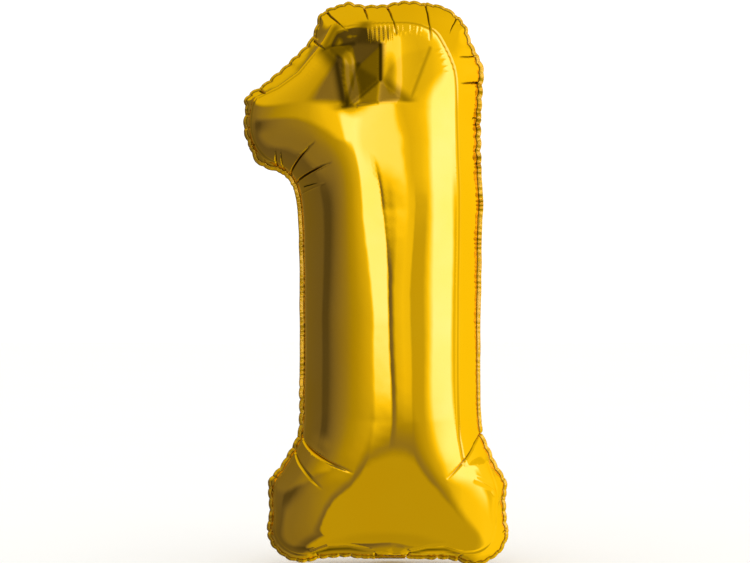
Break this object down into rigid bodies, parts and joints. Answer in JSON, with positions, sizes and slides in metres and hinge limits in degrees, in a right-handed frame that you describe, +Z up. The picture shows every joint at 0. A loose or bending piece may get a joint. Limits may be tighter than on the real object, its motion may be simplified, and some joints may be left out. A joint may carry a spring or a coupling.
{
  "type": "foil number balloon",
  "caption": "Inflated metallised film balloon shaped like the numeral 1, with a sealed flange all round, a folded filling neck and a flat film valve inside.",
  "frame": {"origin": "tie point: the middle of the filling neck's fold line, under the stem's centre line, in the plane of the seam", "axes": "+Z up along the stem towards the crown; -Y is the front, from which the figure reads as a 1 with its flag at -X; +Y is the back, where the neck is folded"},
  "size_m": [0.4022, 0.26, 0.8598],
  "materials": {
    "gold_foil": "metallised film, mirror bright, gold",
    "sealed_foil": "heat-sealed metallised film, finely puckered, gold",
    "clear_film": "clear thin film, slightly hazy"
  },
  "bodies": {
    "envelope": {"front_panel": "gold_foil", "back_panel": "gold_foil", "perimeter_seal": "sealed_foil", "valve_root_welds": "sealed_foil"},
    "neck": {"neck_back_ply": "gold_foil", "neck_side_welds": "sealed_foil", "valve_outer_back_ply": "clear_film"},
    "neck_front": {"neck_front_ply": "gold_foil", "valve_outer_front_ply": "clear_film"},
    "valve_front": {"valve_inner_front_ply": "clear_film"},
    "valve_back": {"valve_inner_back_ply": "clear_film", "valve_inner_edge_welds": "clear_film"}
  },
  "joints": [
    {"name": "neck_fold", "type": "hinge", "parent": "envelope", "child": "neck", "pos_m": [0, 0, 0], "axis": [-1, 0, 0], "range_deg": [0, 165]},
    {"name": "neck_mouth_opening", "type": "hinge", "parent": "neck", "child": "neck_front", "pos_m": [0, 0.0005, -0.0007], "axis": [-1, 0, 0], "range_deg": [0, 12], "stiffness_Nm_per_rad": 0.01, "springref_deg": -5.73},
    {"name": "valve_front_opening", "type": "hinge", "parent": "envelope", "child": "valve_front", "pos_m": [0, -0.00032, 0.0056], "axis": [1, 0, 0], "range_deg": [0, 6], "stiffness_Nm_per_rad": 0.01, "springref_deg": -5.73},
    {"name": "valve_back_opening", "type": "hinge", "parent": "envelope", "child": "valve_back", "pos_m": [0, 0.00032, 0.0056], "axis": [-1, 0, 0], "range_deg": [0, 6], "stiffness_Nm_per_rad": 0.01, "springref_deg": -5.73}
  ],
  "couplings": [
    {"joint": "valve_back_opening", "follows": "valve_front_opening", "ratio": 1}
  ]
}
